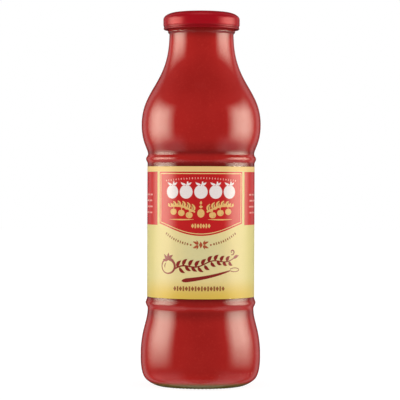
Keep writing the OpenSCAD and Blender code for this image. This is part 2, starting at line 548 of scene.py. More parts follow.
@dataclass(frozen=True)
class TinLacquer(Finish):
    """Red lacquer baked on tinplate: glossy, finely rippled, and redder where the tin shines through it."""

    title: str = "baked_lacquer_on_tinplate"
    red: str = "#AE0217"
    shaded_edge_red: str = "#930210"  # painted shade: the rolled edge is painted a darker red for the shade on its underside, which faces down
    edge_z: float = 236.4
    edge_fade: float = 0.5
    tin_share: float = 0.07
    level: float = 0.27
    roughness: Pair = (0.22, 0.26)
    ripple_mm: float = 2.5  # spacing of the lacquer's ripples
    ripple_depth: float = 0.015
    ripple_rise: float = 0.3

    def shader(self, tree: Tree) -> Socket:
        """A red coat with part of a metal's tinted reflection, under fine ripples, and painted shade
        darkening the rolled edge.

        Args:
            tree: the node tree.

        Returns:
            The shader's output.
        """
        place = add_node(tree, "TexCoord", take="Object")
        ripples = {"Vector": place, "Scale": 1 / MM / self.ripple_mm, "Detail": 2.0}
        ripple = add_node(tree, "TexNoise", ripples)
        relief = {"Height": ripple, "Strength": self.ripple_depth, "Distance": self.ripple_rise * MM}
        worn = {0: ripple, 1: 0.3, 2: 0.7, 3: self.roughness[0], 4: self.roughness[1]}
        height = add_node(tree, "SeparateXYZ", {0: place}, 2)
        # painted shade: below the top of the rolled edge the base colour fades to a darker red for the shade
        # under the curl
        fade = {0: height, 1: (self.edge_z - self.edge_fade) * MM, 2: (self.edge_z + self.edge_fade) * MM}
        above = add_node(tree, "MapRange", fade, interpolation_type=SOFT)
        reds = {0: above, 6: srgb(self.shaded_edge_red), 7: srgb(self.red)}
        inputs = {
            "Base Color": add_node(tree, "Mix", reds, 2, data_type="RGBA"),
            "Metallic": self.tin_share,
            "Specular IOR Level": self.level,
            "Roughness": add_node(tree, "MapRange", worn, interpolation_type=SOFT),
            "Normal": add_node(tree, "Bump", relief),
        }
        return add_node(tree, "BsdfPrincipled", inputs)


@dataclass(frozen=True)
class OffsetInk(Finish):
    """Offset ink on the label under a satin varnish: flat colour, a little uneven where it soaked in."""

    title: str = "cream_offset_ink"
    colour: str = "#F1E8C8"
    speck_mm: float = 0.8
    speck_detail: float = 3.0
    uneven: float = 0.06
    relief: float = 0.0
    relief_rise: float = 0.05
    roughness: float = 0.55
    level: float = 0.15
    varnish: float = 0.8
    varnish_roughness: float = 0.17

    def face(self, tree: Tree) -> Socket | tuple[float, ...]:
        """Returns the colour before its specks."""
        return srgb(self.colour)[:3]

    def shader(self, tree: Tree) -> Socket:
        """The face's colour, a few parts in a hundred darker by specks, under the varnish.

        Args:
            tree: the node tree.

        Returns:
            The shader's output.
        """
        place = add_node(tree, "TexCoord", take="Object")
        grain = {"Vector": place, "Scale": 1 / MM / self.speck_mm, "Detail": self.speck_detail}
        speck = add_node(tree, "TexNoise", grain)
        steps = {0: speck, 1: 0.3, 2: 0.7, 3: 1.0 - self.uneven, 4: 1.0}
        shade = add_node(tree, "MapRange", steps, interpolation_type=SOFT)
        shaded = {0: self.face(tree), "Scale": shade}
        inputs = {
            "Base Color": add_node(tree, "VectorMath", shaded, operation="SCALE"),
            "Roughness": self.roughness,
            "Specular IOR Level": self.level,
            "Coat Weight": self.varnish,
            "Coat Roughness": self.varnish_roughness,
        }
        if self.relief:
            fibres = {"Height": speck, "Strength": self.relief, "Distance": self.relief_rise * MM}
            inputs["Normal"] = add_node(tree, "Bump", fibres)
        return add_node(tree, "BsdfPrincipled", inputs)


@dataclass(frozen=True)
class VarnishedPaper(OffsetInk):
    """Label paper, roughened by its fibres and printed all over with a cream that deepens to gold."""

    title: str = "varnished_label_paper"
    pale: str = "#EAD798"
    deep: str = "#E0BC50"
    side: str = "#E0D389"
    green: str = "#DCD39C"
    band: str = "#EFC880"
    sheet_w: float = 0.0
    sheet_h: float = 0.0
    band_h: float = 3.0
    green_v: float = 29.0  # height of the middle of the pale green glow
    back_u: float = 75.0  # where the plain back of the label starts
    speck_mm: float = 0.9  # length of the fibres, twice as coarse as real ones so that they show
    speck_detail: float = 4.0
    uneven: float = 0.03
    relief: float = 0.1
    varnish: float = 0.4
    varnish_roughness: float = 0.2

    def face(self, tree: Tree) -> Socket:
        """The printed field, in millimetres from the middle of the front and up from the label's foot.

        Each colour is laid over the ones before it by its share: the sides, the gold at the foot, the green
        glow, the plain back and the band along the top.

        Args:
            tree: the node tree.

        Returns:
            The colour.
        """
        uv = add_node(tree, "UVMap", uv_map="UVMap")
        across, up, _ = add_node(tree, "SeparateXYZ", {0: uv}).node.outputs
        off = add_node(tree, "Math", {0: across, 1: 0.5}, operation="SUBTRACT")
        off = add_node(tree, "Math", {0: off}, operation="ABSOLUTE")
        side = add_node(tree, "Math", {0: off, 1: self.sheet_w}, operation="MULTIPLY")
        v = add_node(tree, "Math", {0: up, 1: self.sheet_h}, operation="MULTIPLY")
        off_green = add_node(tree, "Math", {0: v, 1: self.green_v}, operation="SUBTRACT")
        off_green = add_node(tree, "Math", {0: off_green}, operation="ABSOLUTE")
        top = self.sheet_h - self.band_h
        steps = (
            (self.side, [(side, 22.0, 46.0, 0.0, 1.0)]),
            (self.deep, [(v, 1.0, 15.0, 1.0, 0.0), (side, 20.0, 60.0, 1.0, 0.5)]),
            (self.green, [(off_green, 4.0, 16.0, 0.8, 0.0), (side, 2.0, 24.0, 1.0, 0.0)]),
            (self.colour, [(side, self.back_u - 0.5, self.back_u + 0.5, 0.0, 1.0)]),
            (self.band, [(v, top - 0.1, top + 0.1, 0.0, 1.0)]),
        )
        colour = srgb(self.pale)
        for over, limits in steps:
            share = 1.0
            for limit in limits:
                step = add_node(tree, "MapRange", dict(enumerate(limit)), interpolation_type=SOFT)
                share = add_node(tree, "Math", {0: share, 1: step}, operation="MULTIPLY")
            colour = add_node(tree, "Mix", {0: share, 6: colour, 7: srgb(over)}, 2, data_type="RGBA")
        return colour


@dataclass(frozen=True)
class StudioPaper(Finish):
    """The matt white paper that the bottle stands on: it shines white, and soaks up some of the light."""

    title: str = "matt_white_backdrop_paper"
    seen: str = "#898989"
    lighting: str = "#D8D6D2"
    shine: float = 0.85
    glow: float = 0.3

    def shader(self, tree: Tree) -> Socket:
        """White for the eye, a little shaded where the bottle stands, and pale grey for the light it returns.

        Args:
            tree: the node tree.

        Returns:
            The shader's output.
        """
        faces = []
        for colour, strength in ((self.lighting, self.glow), (self.seen, self.shine)):
            matt = add_node(tree, "BsdfDiffuse", {"Color": srgb(colour)})
            shine = add_node(tree, "Emission", {"Strength": strength})
            faces.append(add_node(tree, "AddShader", {0: matt, 1: shine}))
        eye = add_node(tree, "LightPath", take="Is Camera Ray")
        return add_node(tree, "MixShader", {0: eye, 1: faces[0], 2: faces[1]})


@dataclass(frozen=True)
class DiffuserCloth(Finish):
    """White nylon cloth over a soft box: a glow that fades out to its edges, and clear where none is left."""

    title: str = "diffuser_cloth"
    colour: str = "#F4F0DC"
    glow: float = 7.6
    near: Pair = (61.0, 14.0)  # turn from the front of its near edge, and how far it fades, in degrees
    far: Pair = (107.0, 20.0)
    low: Pair = (0.0, 150.0)  # height of its lower edge, and how far it fades
    high: Pair = (400.0, 130.0)

    def shader(self, tree: Tree) -> Socket:
        """The glow times a soft-edged band across and a soft-edged band up.

        Args:
            tree: the node tree.

        Returns:
            The shader's output.
        """
        place = add_node(tree, "TexCoord", take="Object")
        x, y, z = add_node(tree, "SeparateXYZ", {0: place}).node.outputs
        height = add_node(tree, "Math", {0: z, 1: 1 / MM}, operation="MULTIPLY")
        across = band(tree, turn_of(tree, x, y), self.near, self.far)
        up = band(tree, height, self.low, self.high)
        shape = add_node(tree, "Math", {0: across, 1: up}, operation="MULTIPLY")
        glow = add_node(tree, "Math", {0: shape, 1: self.glow}, operation="MULTIPLY")
        light = add_node(tree, "Emission", {"Color": srgb(self.colour), "Strength": glow})
        return add_node(tree, "AddShader", {0: light, 1: add_node(tree, "BsdfTransparent")})


# ---------------------------------------------------------------- the bottle


def measured(node: str) -> tuple[float, float, float]:
    """Reads a CAD node's size from the frame.

    Args:
        node: the node's name.

    Returns:
        Its radius, its lowest height and its highest height, in millimetres.
    """
    low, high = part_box(node)
    return (high.x - low.x) / 2 / MM, low.z / MM, high.z / MM


@dataclass(frozen=True)
class BottleForm:
    """The bottle's sizes, and the outlines that they give. Radii and heights are in millimetres."""

    belly_r: float
    mouth_z: float
    fill_z: float
    foot_r: float = 28.5
    foot_w: float = 5.0
    punt_h: float = 5.0
    floor_t: float = 4.0
    foot_t: float = 3.6
    heel_r: float = 35.5
    heel_h: float = 3.7
    belly_h: float = 19.7
    groove_r: float = 34.85
    groove_z: float = 50.6
    lower_rib_w: float = 7.4
    upper_rib_w: float = 6.4
    rib_out: float = 1.15
    panel_r: float = 35.2
    panel_top: float = 145.9
    waist_r: float = 34.95
    shoulder_r: float = 39.2
    shoulder_rise: float = 19.2
    neck_r: float = 21.1
    neck_rise: float = 59.5
    bead_w: float = 2.6
    bead_out: float = 0.6
    mouth_out: float = 0.8
    wall: float = 3.0
    mouth_under: float = 1.1  # how far the mouth stays low, to clear the lid's sloped shoulder
    lip_round: float = 1.2
    knurl_n: int = 72
    knurl_w: float = 2.0
    knurl_h: float = 0.4
    pip_n: int = 8
    pip_step_deg: float = 6.0
    first_pip_deg: float = 18.0
    pip_z: float = 8.8
    pip_half_h: float = 1.2
    pip_half_w: float = 0.6
    pip_out: float = 0.42
    seam_out: float = 0.06
    seam_half_w: float = 0.35
    seam_r: float = 20.6  # no seam is raised on a face that lies nearer to the axis, such as the bore

    @classmethod
    def from_frame(cls) -> "BottleForm":
        """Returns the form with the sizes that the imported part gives."""
        belly_r, _, mouth_z = measured("glass_bottle")
        return cls(belly_r=belly_r, mouth_z=mouth_z - cls.mouth_under, fill_z=measured("passata")[2])

    @property
    def panel_z(self) -> float:
        """Height at which the label panel starts."""
        return self.groove_z + self.lower_rib_w

    @property
    def waist_z(self) -> float:
        """Height of the waist above the upper rib."""
        return self.panel_top + self.upper_rib_w

    @property
    def shoulder_z(self) -> float:
        """Height of the shoulder's widest ring."""
        return self.waist_z + self.shoulder_rise

    @property
    def neck_z(self) -> float:
        """Height of the top of the neck."""
        return self.shoulder_z + self.neck_rise

    @property
    def bore_r(self) -> float:
        """Radius inside the neck."""
        return self.neck_r - self.wall

    @property
    def mouth_r(self) -> float:
        """Radius of the mouth above the bead."""
        return self.neck_r + self.mouth_out

    def punt(self) -> np.ndarray:
        """Returns the hollow under the base, from the axis to the ring that it stands on."""
        return cubic((0, self.punt_h), 0, 0.45, (self.foot_r - self.foot_w, 0), -75, 0.16, 10)

    def outside(self) -> np.ndarray:
        """Returns the outer face, from the edge of the foot to the lip's inner edge."""
        belly = (self.belly_r, self.belly_h)
        shoulder = (self.shoulder_r, self.shoulder_z)
        lip_z = self.mouth_z - self.lip_round
        return joined(
            np.linspace((self.foot_r - self.foot_w, 0), (self.foot_r, 0), 6),
            cubic((self.foot_r, 0), 14, 0.38, (self.heel_r, self.heel_h), 41, 0.24, 8),
            cubic((self.heel_r, self.heel_h), 41, 0.22, belly, 90, 0.53, 26),
            cubic(belly, 90, 0.55, (self.groove_r, self.groove_z), 90, 0.29, 18),
            rib(self.groove_z, self.lower_rib_w, self.rib_out, self.groove_r, self.panel_r, 16),
            rib(self.panel_top, self.upper_rib_w, self.rib_out, self.panel_r, self.waist_r, 16),
            cubic((self.waist_r, self.waist_z), 90, 0.16, shoulder, 90, 0.59, 14),
            cubic(shoulder, 90, 0.385, (self.neck_r, self.neck_z), 90, 0.52, 26),
            rib(self.neck_z, self.bead_w, self.bead_out, self.neck_r, self.mouth_r, 10),
            arc((self.mouth_r - self.lip_round, lip_z), self.lip_round, 0, 90, 5),
            arc((self.bore_r + self.lip_round, lip_z), self.lip_round, 90, 180, 5),
        )

    def inside(self) -> np.ndarray:
        """Returns the cavity's outline, from the axis at its floor to the top of the bore."""
        ring = (self.foot_r - self.foot_w / 2, self.foot_t)
        belly = (self.belly_r - self.wall, self.belly_h)
        low_panel = (self.panel_r - self.wall, self.panel_z)
        high_panel = (self.panel_r - self.wall, self.panel_top)
        shoulder = (self.shoulder_r - self.wall, self.shoulder_z)
        return joined(
            cubic((0, self.punt_h + self.floor_t), 0, 0.43, ring, 0, 0.32, 10),
            cubic(ring, 0, 0.31, belly, 90, 0.46, 12),
            cubic(belly, 90, 0.45, low_panel, 90, 0.3, 10),
            cubic(high_panel, 90, 0.4, shoulder, 90, 0.4, 8),
            cubic(shoulder, 90, 0.385, (self.bore_r, self.neck_z), 90, 0.52, 18),
        )

    def marks(self, r: np.ndarray, z: np.ndarray, a: np.ndarray) -> tuple[np.ndarray, np.ndarray]:
        """The mould's marks: the knurled foot, a row of upright pips and the two seams of the mould.

        The foot rises between its teeth by h cos^2(n a / 2). A pip lifts the wall by
        out sqrt(1 - (x / half_w)^2 - (y / half_h)^2), and a seam by out exp(-(x / half_w)^2).

        Args:
            r: radius of each point.
            z: height of each point.
            a: angle of each point from the front, in radians.

        Returns:
            The new radii and heights.
        """
        knurled = (r > self.foot_r - self.knurl_w) & (z < self.knurl_h)
        gap = self.knurl_h * np.cos(self.knurl_n * a / 2) ** 2
        z = np.where(knurled, np.maximum(z, gap), z)
        outer = (r > self.heel_r) & (z < self.belly_h)
        first = math.radians(self.first_pip_deg)
        step = math.radians(self.pip_step_deg)
        nearest = first + step * np.round((a - first) / step).clip(0, self.pip_n - 1)
        off = ((a - nearest) * r / self.pip_half_w) ** 2 + ((z - self.pip_z) / self.pip_half_h) ** 2
        pips = self.pip_out * np.sqrt((1 - off).clip(0)) * outer
        walls = (z > self.heel_h) & (z < self.neck_z) & (r > self.seam_r) & (outer | (z > self.belly_h))
        seams = self.seam_out * np.exp(-((np.cos(a) * r / self.seam_half_w) ** 2)) * walls
        return r + pips + seams, z


@dataclass
class GlassBottle:
    """The bottle itself: one closed wall of glass."""

    form: BottleForm
    columns: int = 360
    pip_columns: int = 7
    pip_reach_deg: float = 0.9
    seam_columns: int = 5
    seam_reach_deg: float = 0.8

    def angles(self) -> np.ndarray:
        """The columns' angles: even all round, with more across the pips and at the two seams.

        Returns:
            The angles in radians from the front, sorted.
        """
        form = self.form
        even = np.linspace(0, 360, self.columns, endpoint=False)
        pips = form.first_pip_deg + form.pip_step_deg * np.arange(form.pip_n)
        across_pip = np.linspace(-self.pip_reach_deg, self.pip_reach_deg, self.pip_columns)
        across_seam = np.linspace(-self.seam_reach_deg, self.seam_reach_deg, self.seam_columns)
        fine = (pips[:, None] + across_pip).ravel()
        seams = (np.array([90.0, 270.0])[:, None] + across_seam).ravel()
        return np.radians(np.unique(np.round(np.concatenate([even, fine, seams]), 3)))

    def build(self) -> None:
        """Makes the glass: from the middle of its base, round the outside, over the lip and down inside."""
        form = self.form
        wall = turned(joined(form.punt(), form.outside(), form.inside()[::-1]), self.angles(), form.marks)
        make_piece("glass_bottle_wall", wall, BlownGlass(), Slot.GLASS, ("glass_bottle",), sharp_deg=50.0)


@dataclass
class Filling:
    """The passata. It reaches a little way into the glass, so that no air shows between them."""

    form: BottleForm
    into_glass: float = 0.15
    rim_w: float = 1.5  # width of the film that creeps up the glass round its level
    rim_h: float = 0.8
    columns: int = 180

    def build(self) -> bpy.types.Object:
        """Makes the filling from the cavity's outline, a hair wider, closed by its level.

        Returns:
            The piece.
        """
        form = self.form
        level = form.fill_z - self.rim_h
        rim = (form.bore_r + self.into_glass, form.fill_z)
        top = np.array([rim, (form.bore_r - self.rim_w, level), (0, level)])
        outline = joined(set_off(form.inside(), self.into_glass), top)
        outline[0, 0] = 0
        body = turned(outline, even_turn(self.columns))
        return make_piece("passata_filling", body, SievedTomato(), Slot.PASSATA, ("passata",))


@dataclass
class TwistOffLid:
    """The pressed tin lid: a button and a step on top, a sloped shoulder, a skirt and a rolled edge."""

    form: BottleForm
    tin_t: float = 0.35
    shoulder_h: float = 4.8
    curl_r: float = 0.8
    curl_inset: float = 0.2
    curl_from_deg: float = 40.0
    curl_to_deg: float = -240.0
    panel_drop: float = 0.9
    panel_gap: float = 0.3
    step_w: float = 1.4
    button_r: float = 9.5
    button_dip: float = 0.35
    bend_h: float = 2.9  # height over the lid's foot at which the skirt starts to bend in to the rolled edge
    columns: int = 240

    def face(self) -> np.ndarray:
        """Returns the outer face, from the axis over the shoulder and down to the end of the rolled edge."""
        radius, foot_z, top_z = measured("lid")
        low_z = top_z - self.panel_drop
        rim_r = self.form.bore_r - self.panel_gap
        middle = (radius - self.curl_inset - self.curl_r, foot_z + self.curl_r)
        curl = arc(middle, self.curl_r, self.curl_from_deg, self.curl_to_deg, 18)
        return joined(
            cubic((0, low_z - self.button_dip), 0, 0.4, (self.button_r, low_z), 0, 0.1, 10),
            cubic((rim_r - self.step_w, low_z), 0, 0.4, (rim_r, top_z), 0, 0.4, 8),
            cubic((rim_r, top_z), -6, 0.38, (radius, top_z - self.shoulder_h), -90, 0.32, 18),
            cubic((radius, foot_z + self.bend_h), -90, 0.1, tuple(curl[0]), self.curl_from_deg - 90, 0.3, 12),
            curl,
        )

    def build(self) -> None:
        """Makes the tin: its inner face from the axis to the rolled edge, then its outer face back."""
        outer = self.face()
        outline = joined(set_off(outer, self.tin_t), outer[::-1])
        outline[[0, -1], 0] = 0
        tin = turned(outline, even_turn(self.columns))
        make_piece("lid_tin", tin, TinLacquer(), Slot.LID, ("lid",), sharp_deg=50.0)


# ---------------------------------------------------------------- the label


@dataclass(frozen=True)
class Patch:
    """A patch of print on the flat label: u to the right of the front's middle, v up from its foot."""

    u: np.ndarray
    v: np.ndarray

    def mirrored(self) -> "Patch":
        """Returns the patch on the other side of the middle, facing the same way."""
        return Patch(-self.u[:, ::-1], self.v[:, ::-1])


def both_sides(patches: list[Patch]) -> list[Patch]:
    """Returns the patches and their mirror images."""
    return patches + [patch.mirrored() for patch in patches]


def between(low: Edge, high: Edge, start: float, end: float, columns: int) -> Patch:
    """The patch between two curves: v = low(u) (1 - t) + high(u) t.

    Args:
        low: its lower edge, v for each u.
        high: its upper edge.
        start: first u.
        end: last u.
        columns: number of points across.

    Returns:
        The patch.
    """
    u = np.linspace(start, end, columns)
    return Patch(np.stack([u, u]), np.stack([low(u) + 0 * u, high(u) + 0 * u]))


def field_of(left: float, right: float, low: float, high: float) -> Patch:
    """Returns an upright rectangle of print, fine enough to follow the bottle."""
    columns = max(2, round((right - left) / 1.2) + 1)
    return between(lambda u: low, lambda u: high, left, right, columns)


def pen(path: np.ndarray, width: np.ndarray | float) -> Patch:
    """A pen stroke: p(t) + n(t) w(t) s, with n the path's left-hand normal and s from -1/2 to 1/2.

    Args:
        path: points (u, v) of the stroke's middle line.
        width: its width at each point, or all along.

    Returns:
        The patch.
    """
    along = np.gradient(path, axis=0)
    along /= np.linalg.norm(along, axis=1)[:, None]
    normal = np.stack([-along[:, 1], along[:, 0]], axis=1) * np.broadcast_to(width, len(path))[:, None] / 2
    right, left = path - normal, path + normal
    return Patch(np.stack([right[:, 0], left[:, 0]]), np.stack([right[:, 1], left[:, 1]]))


def swell(start: float, end: float, count: int) -> np.ndarray:
    """Returns sin x at evenly spaced x, the swell of a stroke that starts and ends thin."""
    return np.sin(np.linspace(start, end, count))


def bow(start: Pair, end: Pair, bend: float, steps: int) -> np.ndarray:
    """A bowed line: a + (b - a) t + bend n sin(180 t), with n its left-hand normal.

    Args:
        start: its first point.
        end: its last point.
        bend: how far its middle stands off the straight line, to the left if positive.
        steps: number of stretches between points.

    Returns:
        Its points.
    """
    a, b = np.array(start, float), np.array(end, float)
    t = np.linspace(0, 1, steps + 1)[:, None]
    normal = np.array([a[1] - b[1], b[0] - a[0]]) / np.linalg.norm(b - a)
    return a + (b - a) * t + bend * normal * np.sin(np.pi * t)


def leaf(start: Pair, reach: Pair, width: float, bend: float = 0.0) -> Patch:
    """A pointed leaf on a bowed line: its width is w sin(180 t^0.8).

    Args:
        start: its stalk.
        reach: how far its tip lies across and up from there.
        width: its greatest width.
        bend: how far it bows to the left.

    Returns:
        The patch.
    """
    t = np.linspace(0, 1, 13)
    end = (start[0] + reach[0], start[1] + reach[1])
    return pen(bow(start, end, bend, 12), width * np.sin(np.pi * t**0.8))


def round_spot(centre: Pair, half_w: float, half_h: float, dimple: float = 0.0) -> Patch:
    """A round or oval spot: v = +-half_h sqrt(1 - x^2), x = -cos(180 t), dimpled on top by exp(-(x / 0.3)^2).

    Args:
        centre: its middle.
        half_w: half its width.
        half_h: half its height.
        dimple: depth of the dimple, as a share of half its height.

    Returns:
        The patch.
    """
    x = -np.cos(np.linspace(0, np.pi, 25))
    edge = half_h * np.sqrt((1 - x**2).clip(0))
    top = edge * (1 - dimple * np.exp(-((x / 0.3) ** 2)))
    u = centre[0] + half_w * x
    return Patch(np.stack([u, u]), centre[1] + np.stack([-edge, top]))


def lozenge(centre: Pair, half_w: float, half_h: float) -> Patch:
    """Returns a lozenge: v = +-half_h (1 - |x|), with x from -1 to 1."""
    x = np.linspace(-1, 1, 5)
    edge = half_h * (1 - np.abs(x))
    u = centre[0] + half_w * x
    return Patch(np.stack([u, u]), centre[1] + np.stack([-edge, edge]))


def curl(centre: Pair, radius: float, from_deg: float, turn_deg: float, width: float) -> Patch:
    """A tendril's curl: a spiral whose radius falls to a fifth, drawn with a stroke that thins to nothing.

    Args:
        centre: the spiral's middle.
        radius: its outer radius.
        from_deg: angle of its outer end.
        turn_deg: how far it winds, anticlockwise if positive.
        width: the stroke's greatest width.

    Returns:
        The patch.
    """
    t = np.linspace(0, 1, 28)
    a = np.radians(from_deg + turn_deg * t)
    r = radius * (1 - 0.8 * t)
    path = np.array(centre) + np.stack([r * np.cos(a), r * np.sin(a)], axis=1)
    return pen(path, width * (0.35 + 0.65 * np.sin(np.pi * t**0.7)) * (1 - t**4))


@dataclass(frozen=True)
class WrapLabel:
    """The paper label, wrapped once round the panel and glued over itself at the back."""

    form: BottleForm
    paper_t: float = 0.12
    overlap_w: float = 8.0
    lift_w: float = 2.5
    rows: int = 9
    columns: int = 241

    @property
    def low(self) -> float:
        """Height of the label's lower edge."""
        return measured("label")[1]

    @property
    def height(self) -> float:
        """Height of the label."""
        return measured("label")[2] - self.low

    @property
    def radius(self) -> float:
        """Radius of the paper's outer face."""
        return self.form.panel_r + self.paper_t

    @property
    def width(self) -> float:
        """Length of the sheet, from its inner end to its glued end."""
        return 2 * math.pi * self.radius + self.overlap_w

    def wrapped(self, u: np.ndarray, v: np.ndarray, proud: np.ndarray | float) -> np.ndarray:
        """Lays places of the flat label round the bottle: (r sin u/R, -r cos u/R, low + v), r = R + proud.

        Args:
            u: places across, in millimetres from the middle of the front.
            v: places up from the label's lower edge.
            proud: how far they stand off the paper.

        Returns:
            The points, with the places' own shape and three numbers each.
        """
        a, r = u / self.radius, self.radius + proud
        return np.stack(np.broadcast_arrays(r * np.sin(a), -r * np.cos(a), self.low + v), axis=-1)

    def build(self) -> None:
        """Makes the sheet. Its last stretch climbs on its first by the paper's thickness, x^2 (3 - 2 x)."""
        t = np.linspace(0, 1, self.columns)[None, :]
        s = np.linspace(0, 1, self.rows)[:, None]
        u, v = np.broadcast_arrays((t - 0.5) * self.width, s * self.height)
        climb = ((u - (self.width / 2 - self.overlap_w - self.lift_w)) / self.lift_w).clip(0, 1)
        lift = self.paper_t * climb**2 * (3 - 2 * climb)
        sheet = slab(self.wrapped(u, v, lift), self.wrapped(u, v, lift - self.paper_t))
        sheet.uv = np.tile(np.stack(np.broadcast_arrays(t, s), axis=-1).reshape(-1, 2), (2, 1))
        finish = VarnishedPaper(sheet_w=self.width, sheet_h=self.height)
        make_piece("label_paper_sheet", sheet, finish, Slot.PAPER, ("label",))


class Ink(Enum):
    """The label's inks in the order of printing, each with its finish and how proud it stands."""

    RED_FIELD = (OffsetInk("red_offset_ink", "#C8080F"), 0.03)
    CREAM_LINE = (OffsetInk("cream_offset_ink", "#EDD38C"), 0.05)
    WHITE = (OffsetInk("white_offset_ink", "#F4E9E6"), 0.05)
    PINK = (OffsetInk("pale_pink_offset_ink", "#F0A79A"), 0.05)
    GOLD = (OffsetInk("gold_offset_ink", "#EDBE72"), 0.05)
    BROWN = (OffsetInk("brown_offset_ink", "#9A5A2C"), 0.05)
    DEEP_RED = (OffsetInk("deep_red_offset_ink", "#8C1A14"), 0.07)
    RUST = (OffsetInk("rust_offset_ink", "#B4512E"), 0.05)


@dataclass(frozen=True)
class LabelPrint:
    """The print on the label: fields of colour, borders, fruit, sprigs and a leafy branch.

    Every place (u, v) is in millimetres, from the middle of the front and up from the label's foot. What
    stands on both sides is drawn on the right and mirrored.
    """

    label: WrapLabel
    ink_t: float = 0.02
    band_h: float = 3.0
    band_gap: float = 0.4
    shield_w: float = 60.6
    shield_foot: float = 48.4
    shield_drop: float = 7.7
    gap_w: float = 2.3
    side_w: float = 41.4
    side_foot: float = 47.4
    line_inset: float = 1.0
    line_w: float = 0.5
    fruit_n: int = 5
    fruit_step: float = 9.7
    fruit_half_w: float = 4.3
    fruit_half_h: float = 4.4
    fruit_v: float = 69.0
    arch_half_w: float = 24.0
    arch_v: float = 76.2
    dash_rows: int = 4
    dash_n: int = 6
    dash_at: Pair = (38.6, 66.6)  # left end of the top row of dashes
    dash_step: Pair = (5.4, 3.9)
    dash_h: float = 1.0
    stalk_from: Pair = (3.8, 56.0)
    stalk_to: Pair = (21.2, 59.4)
    ground_v: float = 51.3
    emblem_v: float = 55.2
    gold_row: tuple[Pair, Pair] = ((-5.3, 47.1), (5.3, 47.1))
    arched_row: tuple[Pair, Pair] = ((8.6, 35.4), (23.9, 42.0))
    low_row: tuple[Pair, Pair] = ((-17.3, 6.7), (14.9, 6.7))
    back_u: float = 80.5
    back_rows: int = 9
    back_top: float = 66.0
    back_step: float = 6.2
    box_w: float = 16.0
    box_foot: float = 30.0
    rule_w: float = 0.45
    ornament_v: float = 34.9
    branch_from: Pair = (-17.4, 19.4)
    branch_run: Pair = (40.0, 6.6)
    tomato_at: Pair = (-22.6, 20.9)
    brush_from: Pair = (-12.5, 11.7)
    brush_to: Pair = (20.3, 18.3)
    loop_at: Pair = (23.6, 18.7)

    @property
    def top(self) -> float:
        """Height of the upper edge of the red fields, under the gold band."""
        return self.label.height - self.band_h - self.band_gap

    def shield_edge(self, u: np.ndarray | float) -> np.ndarray | float:
        """The shield's lower edge: foot - drop + drop g(|u| / half width), g(x) = x^2 (1.6 - 0.6 x^2).

        Args:
            u: places across.

        Returns:
            The edge's height at each.
        """
        x = np.abs(u) / (self.shield_w / 2)
        return self.shield_foot - self.shield_drop + self.shield_drop * x**2 * (1.6 - 0.6 * x**2)

    def red_fields(self) -> list[Patch]:
        """Returns the shield and the two side panels."""
        half = self.shield_w / 2
        left = half + self.gap_w
        shield = between(self.shield_edge, lambda u: self.top, -half, half, 61)
        return [shield, *both_sides([field_of(left, left + self.side_w, self.side_foot, self.top)])]

    def cream_lines(self) -> list[Patch]:
        """The thin border inside the shield, with a foot that follows the shield's.

        Returns:
            The patches.
        """
        half = self.shield_w / 2 - self.line_inset
        top = self.top - self.line_inset
        corner = float(self.shield_edge(half)) + self.line_inset
        edge, low, high = self.shield_edge, self.line_inset, self.line_inset + self.line_w
        foot = between(lambda u: edge(u) + low, lambda u: edge(u) + high, -half, half, 61)
        head = field_of(-half, half, top - self.line_w, top)
        return [foot, head, *both_sides([field_of(half - self.line_w, half, corner, top)])]

    def white_fruit(self) -> list[Patch]:
        """The bold tomatoes in a row, each with a stalk and two leaves.

        Returns:
            The patches.
        """
        made = []
        for step in range(self.fruit_n):
            u, v = (step - (self.fruit_n - 1) / 2) * self.fruit_step, self.fruit_v
            made.append(round_spot((u, v), self.fruit_half_w, self.fruit_half_h, 0.14))
            made.append(pen(bow((u, v + 3.8), (u + 1.1, v + 6.6), -0.3, 6), 0.9))
            for side in (-1, 1):
                made.append(leaf((u, v + 4.6), (side * 3.6, 1.6), 1.5, -side * 0.5))
        return made

    def mark_row(self, path: np.ndarray, count: int, size: float) -> list[Patch]:
        """A row of small marks along a line: lozenges and upright bars by turns, each square to the line.

        Args:
            path: points of the line, from left to right.
            count: number of marks.
            size: height of a mark.

        Returns:
            The patches.
        """
        along = np.linspace(0, 1, len(path))
        made = []
        for k, t in enumerate(np.linspace(0, 1, count)):
            places = np.clip([t - 0.01, t, t + 0.01], 0, 1)
            back, spot, near = np.stack([np.interp(places, along, axis) for axis in path.T], axis=1)
            way = (near - back) / np.linalg.norm(near - back)
            up = np.array([-way[1], way[0]]) * size / 2
            width = np.array([0.34, 0.34, 0.34] if k % 2 else [0.06, 0.72, 0.06])
            made.append(pen(np.linspace(spot - up, spot + up, 3), size * width))
        return made

    def pale_marks(self) -> list[Patch]:
        """The low arch of small marks over the fruit, and the rows of dashes on each side panel.

        Returns:
            The patches.
        """
        arch = bow((-self.arch_half_w, self.arch_v), (self.arch_half_w, self.arch_v), 1.6, 24)
        made = self.mark_row(arch, 27, 1.3)
        for row in range(self.dash_rows):
            v = self.dash_at[1] - self.dash_step[1] * row
            for k in range(self.dash_n):
                start = self.dash_at[0] + self.dash_step[0] * k + 0.7 * (row % 2)
                length = 3.6 + (k + row) % 3 * 0.5
                made += both_sides([field_of(start, start + length, v, v + self.dash_h)])
        return made

    def stalk(self) -> np.ndarray:
        """Returns the sprig's bowed stalk: leaves sit at every third point and fruit at every fifth."""
        return bow(self.stalk_from, self.stalk_to, 1.7, 16)

